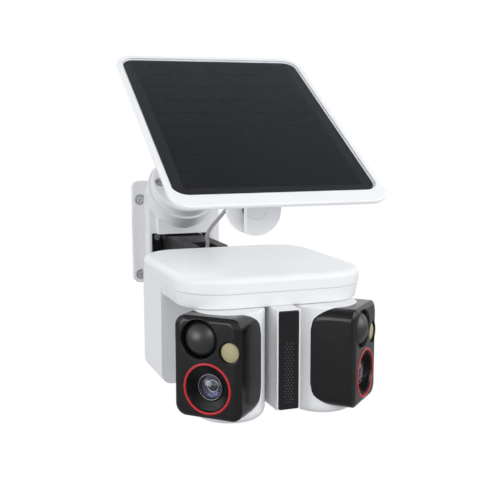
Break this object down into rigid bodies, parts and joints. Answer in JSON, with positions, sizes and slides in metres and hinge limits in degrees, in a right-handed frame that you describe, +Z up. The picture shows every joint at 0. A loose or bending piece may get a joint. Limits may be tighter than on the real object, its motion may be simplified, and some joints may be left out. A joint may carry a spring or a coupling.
{
  "type": "solar security camera",
  "caption": "Wall-hung solar security camera: tilting panel on a bent arm, and a tilting camera head with panning eyes under a rounded lid.",
  "frame": {"origin": "middle of the four wall screws, on the back face of the wall plate", "axes": "+Y into the wall, +Z up, +X to the right as seen from in front of the camera"},
  "size_m": [0.182, 0.3755, 0.2934],
  "materials": {
    "white_shell": "satin white moulded polycarbonate",
    "grey_soft": "matt grey soft rubber",
    "black_face": "gloss black moulded plastic",
    "black_matt": "matt black moulded plastic",
    "red_ring": "red anodised-look plastic",
    "steel": "zinc plated",
    "solar_cell": "black monocrystalline silicon under laminate",
    "panel_cover": "clear textured cover glass",
    "dome": "dark infrared-clear polyethylene",
    "lamp": "cream phosphor",
    "gear_nylon": "natural nylon",
    "battery": "blue shrink sleeve",
    "board": "green solder mask"
  },
  "bodies": {
    "wall_mount": {"wall_plate": "white_shell", "wall_screws": "steel", "bracket_housing": "white_shell", "bracket_screws": "steel", "hinge_clevis": "black_matt", "hinge_bolt": "steel", "hinge_nut": "steel", "solar_arm": "white_shell", "arm_screws": "steel", "clamp_stud": "steel", "cable_grommet": "grey_soft"},
    "hand_nut": {"hand_nut": "white_shell"},
    "knuckle": {"knuckle_lug": "white_shell", "friction_washer": "black_matt", "lug_cap": "white_shell"},
    "panel": {"tilt_pin": "steel", "panel_bracket": "white_shell", "panel_screws": "steel", "panel_back": "white_shell", "solar_cells": "solar_cell", "panel_glass": "panel_cover", "panel_frame": "white_shell"},
    "camera": {"rear_knuckle": "black_matt", "rear_housing": "white_shell", "front_wall": "white_shell", "centre_bar": "white_shell", "head_chassis": "white_shell", "lid_seal": "grey_soft", "top_lid": "white_shell", "speaker_grille": "black_matt", "sensor_window": "black_face", "speaker": "black_matt", "battery_pack": "battery", "main_board": "board", "wifi_antenna": "steel", "usb_socket": "steel", "service_frame": "black_matt", "cable_plug": "grey_soft", "solar_cable": "grey_soft", "left_spindle": "gear_nylon", "right_spindle": "gear_nylon"},
    "service_flap": {"service_flap": "white_shell"},
    "power_button": {"power_button": "white_shell"},
    "reset_button": {"reset_button": "white_shell"},
    "left_pod": {"left_pod_body": "white_shell", "left_face_shell": "black_face", "left_lens_ring": "red_ring", "left_lens_barrel": "black_matt", "left_pir_dome": "dome", "left_spotlight": "lamp", "left_motor": "steel"},
    "right_pod": {"right_pod_body": "white_shell", "right_face_shell": "black_face", "right_lens_ring": "red_ring", "right_lens_barrel": "black_matt", "right_pir_dome": "dome", "right_spotlight": "lamp", "right_motor": "steel"},
    "left_pinion": {"left_pinion": "gear_nylon"},
    "right_pinion": {"right_pinion": "gear_nylon"}
  },
  "joints": [
    {"name": "camera_tilt", "type": "hinge", "parent": "wall_mount", "child": "camera", "pos_m": [0, -0.12, -0.016], "axis": [1, 0, 0], "range_deg": [-3, 35], "deforming": ["solar_cable"]},
    {"name": "panel_roll", "type": "hinge", "parent": "wall_mount", "child": "knuckle", "pos_m": [0, -0.259, 0.053], "axis": [0, 1, 0], "range_deg": [-15, 15]},
    {"name": "panel_tilt", "type": "hinge", "parent": "knuckle", "child": "panel", "pos_m": [0, -0.259, 0.082], "axis": [1, 0, 0], "range_deg": [-31, 10]},
    {"name": "hand_nut_turn", "type": "hinge", "parent": "wall_mount", "child": "hand_nut", "pos_m": [0, -0.247, 0.053], "axis": [0, 1, 0], "range_deg": [0, 360]},
    {"name": "left_pan", "type": "hinge", "parent": "camera", "child": "left_pod", "pos_m": [-0.0403, -0.308, -0.06], "axis": [0, 0, 1], "range_deg": [-75, 45]},
    {"name": "right_pan", "type": "hinge", "parent": "camera", "child": "right_pod", "pos_m": [0.0403, -0.308, -0.06], "axis": [0, 0, 1], "range_deg": [-45, 75]},
    {"name": "left_pinion_spin", "type": "hinge", "parent": "left_pod", "child": "left_pinion", "pos_m": [-0.03033, -0.29803, -0.028], "axis": [0, 0, 1], "range_deg": [-101, 61]},
    {"name": "right_pinion_spin", "type": "hinge", "parent": "right_pod", "child": "right_pinion", "pos_m": [0.03033, -0.29803, -0.028], "axis": [0, 0, 1], "range_deg": [-61, 101]},
    {"name": "service_flap_hinge", "type": "hinge", "parent": "camera", "child": "service_flap", "pos_m": [0.038, -0.1591, -0.0602], "axis": [-1, 0, 0], "range_deg": [0, 100]},
    {"name": "power_press", "type": "slide", "parent": "camera", "child": "power_button", "axis": [0, -1, 0], "range_m": [0, 0.0006], "stiffness_N_per_m": 400, "springref_m": -0.0005},
    {"name": "reset_press", "type": "slide", "parent": "camera", "child": "reset_button", "axis": [0, -1, 0], "range_m": [0, 0.0005], "stiffness_N_per_m": 400, "springref_m": -0.0005}
  ],
  "couplings": [
    {"joint": "left_pinion_spin", "follows": "left_pan", "ratio": 1.3333},
    {"joint": "right_pinion_spin", "follows": "right_pan", "ratio": 1.3333}
  ]
}
